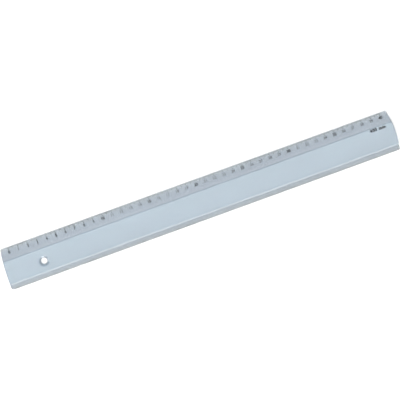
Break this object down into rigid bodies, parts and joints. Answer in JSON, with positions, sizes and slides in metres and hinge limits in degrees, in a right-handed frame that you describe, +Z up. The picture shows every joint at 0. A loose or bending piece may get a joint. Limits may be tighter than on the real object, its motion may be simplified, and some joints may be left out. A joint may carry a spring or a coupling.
{
  "type": "plastic ruler",
  "caption": "Flat clear plastic desk ruler with a bevelled edge printed in millimetres, a grooved plain edge, curved ends and a hanging hole.",
  "frame": {"origin": "middle of the underside's bounding box, on the surface that the ruler lies on", "axes": "+X along the ruler from 0 to 40 cm, +Y towards the graduated edge, +Z up out of the printed face"},
  "size_m": [0.42, 0.0422, 0.0028],
  "materials": {
    "clear_plastic": "clear, tinted blue, glossy from the mould",
    "print_ink": "dull screen ink, near black"
  },
  "bodies": {
    "root": {"blade": "clear_plastic", "marks_0_to_5_cm": "print_ink", "marks_5_to_10_cm": "print_ink", "marks_10_to_15_cm": "print_ink", "marks_15_to_20_cm": "print_ink", "marks_20_to_25_cm": "print_ink", "marks_25_to_30_cm": "print_ink", "marks_30_to_35_cm": "print_ink", "marks_35_to_40_cm": "print_ink", "numeral_0": "print_ink", "numeral_1": "print_ink", "numeral_2": "print_ink", "numeral_3": "print_ink", "numeral_4": "print_ink", "numeral_5": "print_ink", "numeral_6": "print_ink", "numeral_7": "print_ink", "numeral_8": "print_ink", "numeral_9": "print_ink", "numeral_10": "print_ink", "numeral_11": "print_ink", "numeral_12": "print_ink", "numeral_13": "print_ink", "numeral_14": "print_ink", "numeral_15": "print_ink", "numeral_16": "print_ink", "numeral_17": "print_ink", "numeral_18": "print_ink", "numeral_19": "print_ink", "numeral_20": "print_ink", "numeral_21": "print_ink", "numeral_22": "print_ink", "numeral_23": "print_ink", "numeral_24": "print_ink", "numeral_25": "print_ink", "numeral_26": "print_ink", "numeral_27": "print_ink", "numeral_28": "print_ink", "numeral_29": "print_ink", "numeral_30": "print_ink", "numeral_31": "print_ink", "numeral_32": "print_ink", "numeral_33": "print_ink", "numeral_34": "print_ink", "numeral_35": "print_ink", "numeral_36": "print_ink", "numeral_37": "print_ink", "numeral_38": "print_ink", "numeral_39": "print_ink", "numeral_40": "print_ink", "length_mark": "print_ink"}
  },
  "joints": []
}
